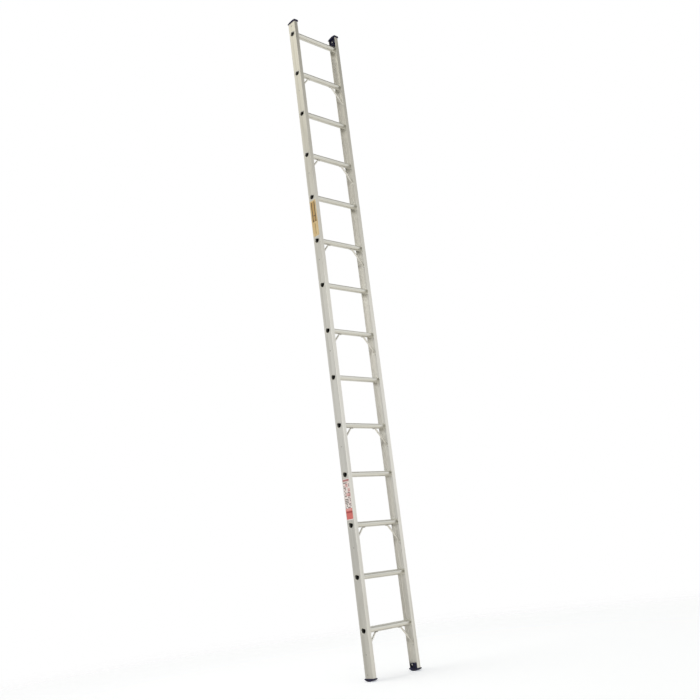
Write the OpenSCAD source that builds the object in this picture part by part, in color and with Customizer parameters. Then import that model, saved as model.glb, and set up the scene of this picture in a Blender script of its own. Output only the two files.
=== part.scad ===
// Straight aluminium ladder: two C-channel stiles joined by hollow D-section rungs.
// Every rung is swaged through both stile webs, and every second rung is braced.
//
// Frame, in millimetres: +Z runs up the stiles and X across the ladder.
// The climber stands on the -Y side. Z = 0 is the lowest point of the feet,
// and X = Y = 0 is midway between the stiles and between their flanges.

/* [Ladder] */
// Width over the outer faces of the two stiles
ladder_w = 398; // [380:1:440]
// Distance from one rung's centre to the next
rung_pitch = 305; // [290:1:310]
// Height of the lowest rung's centre above the stiles' lower ends
first_rung_rise = 268; // [240:1:290]
// Length of stile above the top rung's centre
top_margin = 85; // [80:1:120]

/* [Stiles] */
// Depth of the channel, front flange to back flange
stile_d = 66; // [60:1:75]
// Width of each flange, measured from the web's outer face
flange_w = 28; // [26:1:34]
// Thickness of the web
web_t = 2.2; // [1.8:0.1:3]
// Thickness of each flange
flange_t = 2.8; // [2:0.1:3.5]
// Radius of the channel's two outer corners
corner_r = 2; // [1:0.25:2.5]

/* [Rungs] */
// Radius of the round part of the D section
rung_r = 19.5; // [17:0.5:20]
// Height of the flat tread above the centre of the round part
tread_h = 11.5; // [10:0.5:13]
// Wall thickness of the rung tube
rung_wall = 2; // [1.5:0.1:2.5]
// Backward slope of the treads, so that they lie level when the ladder leans
tread_tilt = 15; // [10:1:20]
// How far the flared end outside each web stands out from the tube
flare_out = 4.5; // [3:0.5:6]
// Thickness of the flared end
flare_t = 1.6; // [1:0.1:2.5]
// How far the bead inside each web stands out from the tube
bead_out = 3; // [2:0.5:4]
// Thickness of the bead
bead_t = 3; // [2:0.5:4]

/* [Braces] */
// Diameter of the brace's round tube
brace_d = 11; // [9:0.5:12]
// Width of the tube's flattened ends
brace_w = 16.5; // [15:0.5:18]
// Thickness of the tube's flattened ends
brace_t = 2.5; // [2:0.1:3]
// Distance from the web to the brace's upper bend
brace_reach = 90; // [80:1:100]
// Distance from the rung's centre down to the brace's lower bend
brace_drop = 124; // [110:1:135]
// Length of the brace's flat end under the rung
brace_upper_foot = 22; // [20:1:30]
// Length of the brace's flat end on the web
brace_lower_foot = 20; // [18:1:28]
// Distance from each bend to where the tube is fully round
brace_taper = 18; // [14:1:24]

/* [Feet and caps] */
// How far each foot and cap stands out around the stile
pad_overhang = 4.5; // [2:0.5:6]
// Height of a foot's square edges, front and back
foot_edge = 5; // [3:1:12]
// How much further the middle of the curved sole reaches down
sole_rise = 11.5; // [8:0.5:18]
// Height of a cap's back edge
cap_edge = 3; // [2:1:8]
// How much further the cap's crown reaches up
dome_rise = 12; // [8:1:16]
// How far the cap's crown lies in front of its middle
crown_offset = 10; // [0:1:15]
// Width of the plugs that fill the channel's ends
plug_w = 48; // [40:1:52]
// Length of a foot's plug inside the stile
foot_plug_l = 28; // [27:1:40]
// Distance from the stile's upper end to the centre of a cap plug's round end
cap_plug_l = 27; // [24:1:40]

/* [Labels] */
// Length of each label
label_l = 248; // [150:1:250]
// Width of each label
label_w = 58; // [40:1:60]
// Thickness of each label
label_t = 0.3; // [0.2:0.1:0.5]

/* [Hidden] */
rung_count = 14;
$fn = 96;
overcut = 1;

// Colours
bright_metal = [0.78, 0.78, 0.76];
rung_metal = [0.72, 0.73, 0.71];
brace_metal = [0.66, 0.67, 0.65];
rivet_metal = [0.55, 0.56, 0.56];
navy = [0.07, 0.08, 0.20];
gold = [0.84, 0.68, 0.34];
pale_red = [0.92, 0.78, 0.77];

// Heights along the stiles
foot_h = foot_edge + sole_rise;
stile_z = foot_h;
rung_z = stile_z + first_rung_rise;
stile_l = first_rung_rise + (rung_count - 1) * rung_pitch + top_margin;
stile_top = stile_z + stile_l;

// Places across the ladder
half_w = ladder_w / 2;
web_in = half_w - web_t;
flange_edge = half_w - flange_w;

// Rivets: shank, domed head, formed tail
shank_r = 2.4;
head_r = 5;
head_h = 1.8;
head_rim = 0.4;
tail_r = 3.6;
tail_h = 4;

// Where the round part of the rung touches the brace from above
brace_top = -rung_r;

// Middle line of a brace in the X-Z plane, from the rung's centre: bends, rivets and slant
half_t = brace_t / 2;
upper_bend = [web_in - brace_reach, brace_top - half_t];
lower_bend = [web_in - half_t, -brace_drop];
upper_rivet_x = upper_bend.x - brace_upper_foot + brace_w / 2;
lower_rivet_drop = brace_drop + brace_lower_foot - brace_w / 2;
slant = lower_bend - upper_bend;
slant_l = norm(slant);
slant_angle = atan2(-slant.y, slant.x);

// End plugs
plug_gap = 0.2;
plug_inner_x = web_in - plug_gap;
plug_setback = 1.5;
plug_face_x = flange_edge + plug_setback;
plug_corner_r = 6;
plug_end_r = plug_w / 2;
foot_rivet_y = 10;
foot_rivet_rise = 20.5;

// Bays that carry the labels, named by the rung below
gold_bay = 9;
red_bay = 3;

function rung_height(n) = rung_z + (n - 1) * rung_pitch;
function bay_middle(n) = rung_height(n) + rung_pitch / 2;

// Radius of the circle through a chord's ends and its raised middle
function arc_radius(half_chord, rise) = (half_chord * half_chord + rise * rise) / (2 * rise);

// ---- Profiles ----------------------------------------------------------------

// Section of the rung tube, seen along +X, larger than the tube by grow
module d_section(grow = 0) {
    rotate(tread_tilt)
        intersection() {
            circle(r = rung_r + grow);
            translate([-2 * rung_r, -2 * rung_r])
                square([4 * rung_r, 2 * rung_r + tread_h + grow]);
        }
}

// Prism along X with the rung's section, from x0 to x1
module d_prism(x0, x1, grow = 0) {
    translate([x0, 0, 0])
        rotate([90, 0, 90])
            linear_extrude(x1 - x0)
                d_section(grow);
}

// Cylinder along X, from x0 to x1
module rod_x(x0, x1, r) {
    translate([x0, 0, 0])
        rotate([0, 90, 0])
            cylinder(r = r, h = x1 - x0);
}

// Domed rivet head with a short straight rim: its flat side at z = 0, its crown along +Z
module dome(r) {
    ball_r = arc_radius(r, head_h - head_rim);
    intersection() {
        translate([0, 0, head_h - ball_r]) sphere(r = ball_r);
        cylinder(r = r, h = head_h + overcut);
    }
}

// Copies a part drawn for the +X side to the left or the right
module on_side(side) {
    if (side == "left")
        mirror([1, 0, 0]) children();
    else
        children();
}

// ---- Stiles ------------------------------------------------------------------

// Channel section for the +X side, with its flanges pointing to the middle
module channel_section() {
    difference() {
        union() {
            translate([flange_edge, -stile_d / 2])
                square([flange_w - corner_r, stile_d]);
            translate([flange_edge, -stile_d / 2 + corner_r])
                square([flange_w, stile_d - 2 * corner_r]);
            for (y = [-1, 1])
                translate([half_w - corner_r, y * (stile_d / 2 - corner_r)])
                    circle(r = corner_r);
        }
        translate([flange_edge - overcut, -stile_d / 2 + flange_t])
            square([flange_w - web_t + overcut, stile_d - 2 * flange_t]);
    }
}

module stile(side) {
    color(bright_metal)
        on_side(side)
            difference() {
                translate([0, 0, stile_z]) linear_extrude(stile_l) channel_section();
                for (n = [1 : rung_count])
                    translate([0, 0, rung_height(n)])
                        d_prism(web_in - overcut, half_w + overcut);
                for (n = [1 : 2 : rung_count])
                    translate([0, 0, rung_height(n) - lower_rivet_drop])
                        rod_x(web_in - overcut, half_w + overcut, shank_r);
                translate([0, foot_rivet_y, stile_z + foot_rivet_rise])
                    rod_x(web_in - overcut, half_w + overcut, shank_r);
                translate([0, 0, stile_top - cap_plug_l])
                    rod_x(web_in - overcut, half_w + overcut, shank_r);
            }
}

// ---- Rungs -------------------------------------------------------------------

// One rung: a D tube, a bead against each web's inside and a flare over its outside
module rung(n) {
    tube_end = half_w + flare_t;
    color(rung_metal)
        translate([0, 0, rung_height(n)])
            difference() {
                union() {
                    d_prism(-tube_end, tube_end);
                    d_prism(-web_in, -web_in + bead_t, bead_out);
                    d_prism(web_in - bead_t, web_in, bead_out);
                    d_prism(-tube_end, -half_w, flare_out);
                    d_prism(half_w, tube_end, flare_out);
                }
                d_prism(-tube_end - overcut, tube_end + overcut, -rung_wall);
                if (n % 2 == 1)
                    for (x = [-upper_rivet_x, upper_rivet_x])
                        translate([x, 0, -rung_r - overcut])
                            cylinder(r = shank_r, h = rung_wall + 2 * overcut);
            }
}

// ---- Braces ------------------------------------------------------------------

// Side view in X-Z of a strip of the flattened thickness, from rivet to rivet
module flat_side() {
    upper_turn = half_t * tan(slant_angle / 2);
    lower_turn = half_t * tan((90 - slant_angle) / 2);
    polygon([
        [upper_rivet_x, brace_top],
        [upper_bend.x + upper_turn, brace_top],
        [web_in, -brace_drop + lower_turn],
        [web_in, -lower_rivet_drop],
        [web_in - brace_t, -lower_rivet_drop],
        [web_in - brace_t, -brace_drop - lower_turn],
        [upper_bend.x - upper_turn, brace_top - brace_t],
        [upper_rivet_x, brace_top - brace_t]
    ]);
}

// The strip with both ends flat, cut away between the tube's tapered ends
module flat_ends() {
    stub = brace_taper / 2;
    difference() {
        union() {
            translate([0, brace_w / 2, 0])
                rotate([90, 0, 0])
                    linear_extrude(brace_w)
                        flat_side();
            translate([upper_rivet_x, 0, brace_top - brace_t])
                cylinder(r = brace_w / 2, h = brace_t);
            translate([0, 0, -lower_rivet_drop])
                rod_x(web_in - brace_t, web_in, brace_w / 2);
        }
        along_slant()
            translate([-brace_d, -brace_w, stub])
                cube([2 * brace_d, 2 * brace_w, slant_l - 2 * stub]);
    }
}

// Turns +Z to run down the slant from the upper bend
module along_slant() {
    translate([upper_bend.x, 0, upper_bend.y])
        rotate([0, 90 + slant_angle, 0])
            children();
}

// End of the tube: as flat as the strip at z = 0, and fully round at brace_taper
module tube_end() {
    // The wedge starts a little thinner than the strip and ends a little thicker than the tube
    start_t = 0.8 * half_t;
    end_t = 1.1 * brace_d / 2;
    intersection() {
        cylinder(r1 = brace_w / 2, r2 = brace_d / 2, h = brace_taper);
        rotate([90, 0, 0])
            linear_extrude(2 * brace_w, center = true)
                polygon([[-start_t, 0], [start_t, 0], [end_t, brace_taper], [-end_t, brace_taper]]);
    }
}

module brace(n, side) {
    color(brace_metal)
        translate([0, 0, rung_height(n)])
            on_side(side)
                difference() {
                    union() {
                        flat_ends();
                        along_slant() {
                            tube_end();
                            translate([0, 0, slant_l]) mirror([0, 0, 1]) tube_end();
                            translate([0, 0, brace_taper])
                                cylinder(r = brace_d / 2, h = slant_l - 2 * brace_taper);
                        }
                    }
                    translate([upper_rivet_x, 0, brace_top - brace_t - overcut])
                        cylinder(r = shank_r, h = brace_t + 2 * overcut);
                    translate([0, 0, -lower_rivet_drop])
                        rod_x(web_in - brace_t - overcut, web_in + overcut, shank_r);
                }
}

// Rivets up through each brace's upper foot into the rung, with a formed tail inside
module brace_to_rung_rivets() {
    // The tube's inside is curved, so the tail's flat base sits just clear of it
    tail_base = -sqrt(pow(rung_r - rung_wall, 2) - tail_r * tail_r);
    color(rivet_metal)
        for (n = [1 : 2 : rung_count])
            for (x = [-upper_rivet_x, upper_rivet_x])
                translate([x, 0, rung_height(n)]) {
                    translate([0, 0, brace_top - brace_t])
                        mirror([0, 0, 1]) dome(head_r);
                    translate([0, 0, brace_top - brace_t])
                        cylinder(r = shank_r, h = tail_base + tail_h - brace_top + brace_t);
                    translate([0, 0, tail_base])
                        cylinder(r = tail_r, h = tail_h);
                }
}

// Rivets through each brace's lower foot and the web, headed on the outside
module brace_to_stile_rivets() {
    color(rivet_metal)
        for (side = ["left", "right"])
            for (n = [1 : 2 : rung_count])
                translate([0, 0, rung_height(n) - lower_rivet_drop])
                    on_side(side) {
                        translate([half_w, 0, 0]) rotate([0, 90, 0]) dome(head_r);
                        rod_x(web_in - brace_t - tail_h, half_w, shank_r);
                        rod_x(web_in - brace_t - tail_h, web_in - brace_t, tail_r);
                    }
}

// ---- Feet and caps -----------------------------------------------------------

// Pad that covers the stile's end: flat at z = 0, its curved face towards +Z.
// The curve is highest at crown_y and falls by rise to the edge on the +Y side.
module curved_pad(edge, rise, crown_y = 0) {
    half_y = stile_d / 2 + pad_overhang;
    arc_r = arc_radius(half_y - crown_y, rise);
    x0 = flange_edge - pad_overhang;
    x1 = half_w + pad_overhang;
    intersection() {
        translate([x0, -half_y, 0]) cube([x1 - x0, 2 * half_y, edge + rise]);
        translate([0, crown_y, edge + rise - arc_r])
            rod_x(x0 - overcut, x1 + overcut, arc_r);
    }
}

// Outline in Y-Z of a foot's plug, above the stile's lower end
module foot_plug_outline() {
    reach = plug_w / 2 - plug_corner_r;
    translate([-plug_w / 2, 0]) square([plug_w, foot_plug_l - plug_corner_r]);
    translate([-reach, 0]) square([2 * reach, foot_plug_l]);
    for (y = [-reach, reach])
        translate([y, foot_plug_l - plug_corner_r]) circle(r = plug_corner_r);
}

// Outline in Y-Z of a cap's plug, drawn upside down: z = 0 is the stile's upper end
module cap_plug_outline() {
    translate([-plug_w / 2, 0]) square([plug_w, cap_plug_l]);
    translate([0, cap_plug_l]) circle(r = plug_end_r);
}

// Plug along X with the given outline, drilled for its rivet at [y, z]
module plug(rivet_y, rivet_z) {
    difference() {
        translate([plug_face_x, 0, 0])
            rotate([90, 0, 90])
                linear_extrude(plug_inner_x - plug_face_x)
                    children();
        translate([0, rivet_y, rivet_z])
            rod_x(plug_face_x - overcut, plug_inner_x + overcut, shank_r);
    }
}

module foot(side) {
    color(navy)
        on_side(side)
            translate([0, 0, stile_z]) {
                mirror([0, 0, 1]) curved_pad(foot_edge, sole_rise);
                plug(foot_rivet_y, foot_rivet_rise) foot_plug_outline();
            }
}

module top_cap(side) {
    color(navy)
        on_side(side)
            translate([0, 0, stile_top]) {
                curved_pad(cap_edge, dome_rise, -crown_offset);
                mirror([0, 0, 1]) plug(0, cap_plug_l) cap_plug_outline();
            }
}

// One rivet across a plug and the web: a head on the plug's face, another outside
module end_rivet() {
    rod_x(plug_face_x, half_w, shank_r);
    translate([plug_face_x, 0, 0]) rotate([0, -90, 0]) dome(head_r);
    translate([half_w, 0, 0]) rotate([0, 90, 0]) dome(head_r);
}

module foot_rivets() {
    color(rivet_metal)
        for (side = ["left", "right"])
            on_side(side)
                translate([0, foot_rivet_y, stile_z + foot_rivet_rise]) end_rivet();
}

module cap_rivets() {
    color(rivet_metal)
        for (side = ["left", "right"])
            on_side(side)
                translate([0, 0, stile_top - cap_plug_l]) end_rivet();
}

// ---- Labels ------------------------------------------------------------------

// Plain sticker on the left stile's outer face, in the middle of a bay
module label(bay) {
    translate([-half_w - label_t, -label_w / 2, bay_middle(bay) - label_l / 2])
        cube([label_t, label_w, label_l]);
}

module gold_label() {
    color(gold) label(gold_bay);
}

module red_and_white_label() {
    color(pale_red) label(red_bay);
}

// ---- Nodes -------------------------------------------------------------------

stile("left");  // left_stile
stile("right");  // right_stile
rung(1);  // rung_01
rung(2);  // rung_02
rung(3);  // rung_03
rung(4);  // rung_04
rung(5);  // rung_05
rung(6);  // rung_06
rung(7);  // rung_07
rung(8);  // rung_08
rung(9);  // rung_09
rung(10);  // rung_10
rung(11);  // rung_11
rung(12);  // rung_12
rung(13);  // rung_13
rung(14);  // rung_14
brace(1, "left");  // brace_01_left
brace(3, "left");  // brace_03_left
brace(5, "left");  // brace_05_left
brace(7, "left");  // brace_07_left
brace(9, "left");  // brace_09_left
brace(11, "left");  // brace_11_left
brace(13, "left");  // brace_13_left
brace(1, "right");  // brace_01_right
brace(3, "right");  // brace_03_right
brace(5, "right");  // brace_05_right
brace(7, "right");  // brace_07_right
brace(9, "right");  // brace_09_right
brace(11, "right");  // brace_11_right
brace(13, "right");  // brace_13_right
brace_to_rung_rivets();
brace_to_stile_rivets();
foot("left");  // left_foot
foot("right");  // right_foot
foot_rivets();
top_cap("left");  // left_top_cap
top_cap("right");  // right_top_cap
cap_rivets();
gold_label();
red_and_white_label();
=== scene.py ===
"""Looks of a straight aluminium ladder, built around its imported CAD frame.

Everything is in metres, in the row frame: +Z runs up the stiles, X goes across the ladder,
and the climber stands on the -Y side. Each CAD node is replaced by one finer piece, whose
place comes from that node's box.
"""

import math

import bmesh
import bpy
from mathutils import Matrix, Vector


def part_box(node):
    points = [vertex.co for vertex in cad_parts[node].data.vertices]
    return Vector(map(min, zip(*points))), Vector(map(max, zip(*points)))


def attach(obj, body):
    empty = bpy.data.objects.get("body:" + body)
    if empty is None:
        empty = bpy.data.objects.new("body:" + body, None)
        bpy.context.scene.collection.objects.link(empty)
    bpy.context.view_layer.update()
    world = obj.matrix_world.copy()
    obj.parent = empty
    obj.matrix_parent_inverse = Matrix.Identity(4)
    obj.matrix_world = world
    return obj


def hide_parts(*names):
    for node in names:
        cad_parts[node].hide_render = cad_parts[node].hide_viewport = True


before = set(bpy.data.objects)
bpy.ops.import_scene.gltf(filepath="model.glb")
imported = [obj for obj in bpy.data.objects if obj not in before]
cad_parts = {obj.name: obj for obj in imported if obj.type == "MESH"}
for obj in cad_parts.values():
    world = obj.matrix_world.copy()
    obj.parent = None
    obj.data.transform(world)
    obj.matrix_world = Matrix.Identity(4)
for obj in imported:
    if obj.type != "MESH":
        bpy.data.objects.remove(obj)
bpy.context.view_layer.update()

# ---- Sizes -------------------------------------------------------------------

MM = 0.001
SIDES = {"left": -1, "right": 1}
# How far a cutting tool or a buried end reaches past the surface it crosses
THROUGH = 2.0 * MM

# Sections of the extrusions, as in the CAD part
WEB_T = 2.2 * MM
FLANGE_T = 2.8 * MM
CORNER_R = 2.0 * MM
FILLET_R = 1.5 * MM
LIP_R = 0.8 * MM
RUNG_R = 19.5 * MM
TREAD_H = 11.5 * MM
TREAD_TILT = math.radians(15)
RUNG_WALL = 2.0 * MM
RUNG_CORNER_R = 2.5 * MM
FLARE_OUT = 4.5 * MM
FLARE_T = 1.6 * MM
BEAD_OUT = 3.0 * MM
BEAD_T = 3.0 * MM
BRACE_D = 11.0 * MM
BRACE_W = 16.5 * MM
BRACE_T = 2.5 * MM
HEAD_R = 5.0 * MM
HEAD_H = 1.8 * MM
SHANK_R = 2.4 * MM
TAIL_R = 3.6 * MM
TAIL_H = 4.0 * MM

# Where things are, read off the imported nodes
STILE_LO, STILE_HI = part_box("right_stile")
HALF_W = STILE_HI.x
WEB_IN = HALF_W - WEB_T
FLANGE_EDGE = STILE_LO.x
HALF_D = STILE_HI.y
STILE_BOTTOM, STILE_TOP = STILE_LO.z, STILE_HI.z
RUNGS = [name for name in sorted(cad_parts) if name.startswith("rung_")]
BRACES = [
    name for name in sorted(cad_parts)
    if name.startswith("brace_") and name.endswith(tuple(SIDES))
]


def rung_height(name):
    """Height of a rung's centre: its flared ends are the lowest part of its box."""
    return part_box(name)[0].z + RUNG_R + FLARE_OUT


RUNG_HEIGHTS = [rung_height(name) for name in RUNGS]


# ---- Outlines ----------------------------------------------------------------

def rounded(corners, steps=5, closed=True):
    """Points of an outline through corners (a, b, radius), each corner turned into an arc."""
    points = []
    count = len(corners)
    for i, (a, b, radius) in enumerate(corners):
        corner = Vector((a, b))
        if radius <= 0 or (not closed and i in (0, count - 1)):
            points.append((a, b))
            continue
        before = (Vector(corners[i - 1][:2]) - corner).normalized()
        after = (Vector(corners[(i + 1) % count][:2]) - corner).normalized()
        half = before.angle(after) / 2
        start = corner + before * (radius / math.tan(half))
        end = corner + after * (radius / math.tan(half))
        centre = corner + (before + after).normalized() * (radius / math.sin(half))
        first = math.atan2(start.y - centre.y, start.x - centre.x)
        last = math.atan2(end.y - centre.y, end.x - centre.x)
        turn = (last - first + math.pi) % (2 * math.pi) - math.pi
        for k in range(steps + 1):
            angle = first + turn * k / steps
            points.append((centre.x + radius * math.cos(angle), centre.y + radius * math.sin(angle)))
    return points


def box_corners(low_a, low_b, high_a, high_b, radius):
    """Corners of a rectangle for rounded()."""
    spots = ((low_a, low_b), (high_a, low_b), (high_a, high_b), (low_a, high_b))
    return [(a, b, radius) for a, b in spots]


def channel_outline():
    """C section of the +X stile as (x, y) points, flanges towards the middle."""
    inner_y = HALF_D - FLANGE_T
    return rounded([
        (FLANGE_EDGE, -HALF_D, LIP_R),
        (HALF_W, -HALF_D, CORNER_R),
        (HALF_W, HALF_D, CORNER_R),
        (FLANGE_EDGE, HALF_D, LIP_R),
        (FLANGE_EDGE, inner_y, LIP_R),
        (WEB_IN, inner_y, FILLET_R),
        (WEB_IN, -inner_y, FILLET_R),
        (FLANGE_EDGE, -inner_y, LIP_R),
    ])


ARC_STEPS = 56
CORNER_STEPS = 5
GROOVES = 8
GROOVE_W = 1.7 * MM


def d_outline(grow=0.0, groove=0.0):
    """D section of a rung as (y, z) points: larger by grow, its tread cut by grooves of that depth."""
    radius = RUNG_R + grow
    flat = TREAD_H + grow
    corner = max(RUNG_CORNER_R + grow, 0.4 * MM)
    rise = flat - corner
    reach = math.sqrt((radius - corner) ** 2 - rise ** 2)
    lean = math.atan2(rise, reach)
    points = []
    for i in range(ARC_STEPS + 1):
        angle = lean - (math.pi + 2 * lean) * i / ARC_STEPS
        points.append((radius * math.cos(angle), radius * math.sin(angle)))
    for i in range(1, CORNER_STEPS + 1):
        angle = math.pi - lean - (math.pi / 2 - lean) * i / CORNER_STEPS
        points.append((-reach + corner * math.cos(angle), rise + corner * math.sin(angle)))
    for i in range(GROOVES):
        centre = reach * (2 * (i + 0.5) / GROOVES - 1)
        for offset, depth in ((-0.5, 0), (-0.25, groove), (0.25, groove), (0.5, 0)):
            points.append((centre + offset * GROOVE_W, flat - depth))
    for i in range(CORNER_STEPS):
        angle = math.pi / 2 - (math.pi / 2 - lean) * i / CORNER_STEPS
        points.append((reach + corner * math.cos(angle), rise + corner * math.sin(angle)))
    c, s = math.cos(TREAD_TILT), math.sin(TREAD_TILT)
    return [(u * c - v * s, u * s + v * c) for u, v in points]


# ---- Mesh tools --------------------------------------------------------------

def new_object(name, verts, faces):
    """Object from points and faces, its normals turned outwards."""
    mesh = bpy.data.meshes.new(name)
    mesh.from_pydata([tuple(v) for v in verts], [], faces)
    bm = bmesh.new()
    bm.from_mesh(mesh)
    bmesh.ops.recalc_face_normals(bm, faces=bm.faces)
    bm.to_mesh(mesh)
    bm.free()
    obj = bpy.data.objects.new(name, mesh)
    bpy.context.scene.collection.objects.link(obj)
    return obj


def loft(name, rings, loop=False):
    """Skin over rings of equally many points: closed at both ends, or joined last to first."""
    count = len(rings[0])
    verts = [v for ring in rings for v in ring]
    faces = []
    for r in range(len(rings) if loop else len(rings) - 1):
        low, high = r * count, ((r + 1) % len(rings)) * count
        for i in range(count):
            j = (i + 1) % count
            faces.append((low + i, low + j, high + j, high + i))
    if not loop:
        faces.append(tuple(range(count))[::-1])
        faces.append(tuple(range((len(rings) - 1) * count, len(rings) * count)))
    return new_object(name, verts, faces)


def prism_z(name, outline, z0, z1):
    """Prism with an (x, y) outline."""
    return loft(name, [[(x, y, z) for x, y in outline] for z in (z0, z1)])


def prism_x(name, outline, x0, x1):
    """Prism with a (y, z) outline."""
    return loft(name, [[(x, y, z) for y, z in outline] for x in (x0, x1)])


def circle(y, z, radius, steps=48):
    """Circle as (y, z) points."""
    turn = 2 * math.pi / steps
    return [(y + radius * math.cos(turn * i), z + radius * math.sin(turn * i)) for i in range(steps)]


def lathe(name, profile, place, direction, steps=32):
    """Solid of revolution: profile is (radius, height) from the base up, along direction from place."""
    turn = direction.to_track_quat("Z", "Y").to_matrix()
    rings = []
    for radius, height in profile:
        ring = []
        for i in range(steps):
            angle = 2 * math.pi * i / steps
            spot = Vector((radius * math.cos(angle), radius * math.sin(angle), height))
            ring.append(place + turn @ spot)
        rings.append(ring)
    return loft(name, rings)


def baked(obj):
    """Applies an object's modifiers to its mesh."""
    graph = bpy.context.evaluated_depsgraph_get()
    mesh = bpy.data.meshes.new_from_object(obj.evaluated_get(graph))
    old = obj.data
    obj.modifiers.clear()
    obj.data = mesh
    bpy.data.meshes.remove(old)
    return obj


def joined(name, parts):
    """One object from several."""
    bm = bmesh.new()
    for part in parts:
        bm.from_mesh(part.data)
        bpy.data.objects.remove(part)
    mesh = bpy.data.meshes.new(name)
    bm.to_mesh(mesh)
    bm.free()
    obj = bpy.data.objects.new(name, mesh)
    bpy.context.scene.collection.objects.link(obj)
    return obj


def combined(obj, operation, tool):
    """obj with tool cut away or added, as an exact boolean."""
    modifier = obj.modifiers.new("boolean", "BOOLEAN")
    modifier.operation = operation
    modifier.solver = "EXACT"
    modifier.object = tool
    baked(obj)
    bpy.data.objects.remove(tool)
    return obj


def softened(obj, width, segments=3, angle=35):
    """Rounds the edges that are sharper than the angle."""
    modifier = obj.modifiers.new("bevel", "BEVEL")
    modifier.width = width
    modifier.segments = segments
    modifier.limit_method = "ANGLE"
    modifier.angle_limit = math.radians(angle)
    modifier.use_clamp_overlap = True
    return baked(obj)


def shaded(obj, angle=35):
    """Smooth shading that keeps flats flat and edges over the angle sharp."""
    obj.data.shade_smooth()
    obj.data.set_sharp_from_angle(angle=math.radians(angle))
    modifier = obj.modifiers.new("flat faces stay flat", "WEIGHTED_NORMAL")
    modifier.keep_sharp = True
    modifier.weight = 100
    return obj


def finished(obj, node, slot, *materials, angle=35):
    """Puts a finished piece in the place of its CAD node."""
    shaded(obj, angle)
    obj.name = node + "_piece"
    obj.data.name = obj.name
    for material in materials:
        obj.data.materials.append(material)
    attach(obj, "root")
    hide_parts(node)
    return obj


# ---- Materials ---------------------------------------------------------------

class Graph:
    """Short way to build a material's nodes."""

    def __init__(self, name):
        self.material = bpy.data.materials.new(name)
        self.material.use_nodes = True
        self.nodes = self.material.node_tree.nodes
        self.links = self.material.node_tree.links
        self.shader = self.nodes["Principled BSDF"]
        self.place = self.nodes.new("ShaderNodeTexCoord").outputs["Object"]

    def link(self, value, socket):
        """Sets a socket to a constant or to another node's output."""
        if isinstance(value, bpy.types.NodeSocket):
            self.links.new(value, socket)
        else:
            socket.default_value = value

    def math(self, operation, a, b=0.0, c=0.0):
        node = self.nodes.new("ShaderNodeMath")
        node.operation = operation
        for value, socket in zip((a, b, c), node.inputs):
            self.link(value, socket)
        return node.outputs[0]

    def ramp(self, value, low, high, out_low=0.0, out_high=1.0):
        """Smooth step of a value between low and high."""
        node = self.nodes.new("ShaderNodeMapRange")
        node.interpolation_type = "SMOOTHSTEP"
        for item, socket in zip((value, low, high, out_low, out_high), node.inputs):
            self.link(item, socket)
        return node.outputs[0]

    def noise(self, scale, detail=3.0, roughness=0.55, distortion=0.0,
              offset=(0, 0, 0), turn=(0, 0, 0)):
        """Noise with its own scale along X, Y and Z, per metre."""
        mapping = self.nodes.new("ShaderNodeMapping")
        mapping.inputs["Location"].default_value = offset
        mapping.inputs["Rotation"].default_value = turn
        mapping.inputs["Scale"].default_value = scale
        self.links.new(self.place, mapping.inputs["Vector"])
        node = self.nodes.new("ShaderNodeTexNoise")
        node.inputs["Scale"].default_value = 1.0
        node.inputs["Detail"].default_value = detail
        node.inputs["Roughness"].default_value = roughness
        node.inputs["Distortion"].default_value = distortion
        self.links.new(mapping.outputs[0], node.inputs["Vector"])
        return node.outputs["Fac"]

    def mix(self, share, a, b):
        """Colour between a and b."""
        node = self.nodes.new("ShaderNodeMix")
        node.data_type = "RGBA"
        self.link(share, node.inputs["Factor"])
        for colour, socket in ((a, node.inputs[6]), (b, node.inputs[7])):
            self.link(colour if isinstance(colour, bpy.types.NodeSocket) else (*colour, 1), socket)
        return node.outputs[2]

    def axes(self):
        """The place's X, Y and Z."""
        node = self.nodes.new("ShaderNodeSeparateXYZ")
        self.links.new(self.place, node.inputs[0])
        return node.outputs

    def bump(self, height, distance, below=None):
        node = self.nodes.new("ShaderNodeBump")
        node.inputs["Strength"].default_value = 1.0
        node.inputs["Distance"].default_value = distance
        self.link(height, node.inputs["Height"])
        if below is not None:
            self.links.new(below, node.inputs["Normal"])
        return node.outputs[0]

    def set(self, **values):
        """Sets the shader's inputs, with _ for each space in a name."""
        for name, value in values.items():
            self.link(value, self.shader.inputs[name.replace("_", " ")])


X_AXIS, Y_AXIS, Z_AXIS = range(3)


def along(axis, across, lengthwise):
    """Scale vector with one value along the axis and another across it."""
    return tuple(lengthwise if i == axis else across for i in range(3))


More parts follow.
